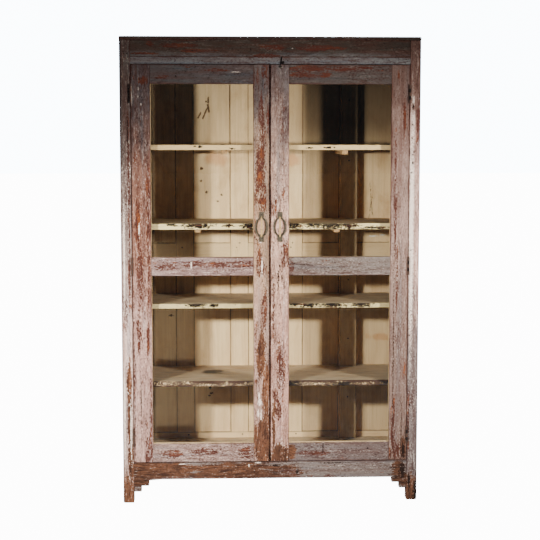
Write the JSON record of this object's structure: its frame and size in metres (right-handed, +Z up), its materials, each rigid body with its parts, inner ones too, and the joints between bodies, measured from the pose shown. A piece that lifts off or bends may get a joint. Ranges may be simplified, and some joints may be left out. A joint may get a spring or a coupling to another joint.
{
  "type": "glass-front cabinet",
  "caption": "Tall painted wooden cabinet on short legs, with glazed framed doors, fixed shelves, a panelled back, iron pulls and a wire latch hook.",
  "frame": {"origin": "on the floor, at the middle of the whole object's width and depth", "axes": "+Z up, +Y towards the back, +X to the right of someone facing the doors"},
  "size_m": [1.214, 0.474, 1.9],
  "materials": {
    "outer_paint": "worn lilac-grey paint over red-brown wood",
    "inner_paint": "old cream paint",
    "shelf_paint": "chipped and grimy cream paint",
    "bearer_wood": "dark bare wood",
    "glass": "clear window glass",
    "iron": "dark forged iron",
    "pull_metal": "aged dark metal, rubbed bright on the grip",
    "screw_steel": "dull steel"
  },
  "bodies": {
    "case": {"front_post_left": "outer_paint", "front_post_right": "outer_paint", "rear_post_left": "outer_paint", "rear_post_right": "outer_paint", "top_board": "outer_paint", "frieze_board": "outer_paint", "head_rail": "outer_paint", "apron_rail": "outer_paint", "apron_brackets": "outer_paint", "side_rails_top": "outer_paint", "side_rails_mid": "outer_paint", "side_rails_bottom": "outer_paint", "side_panels": "outer_paint", "back_rail_top": "inner_paint", "back_rail_mid": "inner_paint", "back_rail_bottom": "inner_paint", "back_muntins": "inner_paint", "back_panels": "inner_paint", "centre_post": "outer_paint", "shelf_batten": "inner_paint", "floor_board": "shelf_paint", "shelf_1": "shelf_paint", "shelf_2": "shelf_paint", "shelf_3": "shelf_paint", "shelf_4": "shelf_paint", "shelf_bearers": "bearer_wood", "shelf_runners": "bearer_wood", "hinge_case_leaves": "iron", "hinge_pins": "iron", "hinge_case_screws": "screw_steel", "latch_stud": "iron"},
    "left_door": {"left_door_outer_stile": "outer_paint", "left_door_meeting_stile": "outer_paint", "left_door_top_rail": "outer_paint", "left_door_mid_rail": "outer_paint", "left_door_bottom_rail": "outer_paint", "left_door_upper_pane": "glass", "left_door_lower_pane": "glass", "left_door_glazing_beads": "inner_paint", "left_hinge_door_leaves": "iron", "left_hinge_door_screws": "screw_steel", "left_pull_plate": "pull_metal", "left_pull_bow": "pull_metal", "left_door_nails": "pull_metal"},
    "right_door": {"right_door_outer_stile": "outer_paint", "right_door_meeting_stile": "outer_paint", "right_door_top_rail": "outer_paint", "right_door_mid_rail": "outer_paint", "right_door_bottom_rail": "outer_paint", "right_door_upper_pane": "glass", "right_door_lower_pane": "glass", "right_door_glazing_beads": "inner_paint", "right_hinge_door_leaves": "iron", "right_hinge_door_screws": "screw_steel", "right_pull_plate": "pull_metal", "right_pull_bow": "pull_metal", "right_door_nails": "pull_metal"},
    "latch_hook": {"latch_hook": "iron"}
  },
  "joints": [
    {"name": "left_door_hinge", "type": "hinge", "parent": "case", "child": "left_door", "pos_m": [-0.56125, -0.2175, 0.9765], "axis": [0, 0, -1], "range_deg": [0, 170]},
    {"name": "right_door_hinge", "type": "hinge", "parent": "case", "child": "right_door", "pos_m": [0.56125, -0.2175, 0.9765], "axis": [0, 0, 1], "range_deg": [0, 170]},
    {"name": "hook_swing", "type": "hinge", "parent": "right_door", "child": "latch_hook", "pos_m": [0.04, -0.2152, 1.777], "axis": [0, -1, 0], "range_deg": [0, 190]}
  ]
}
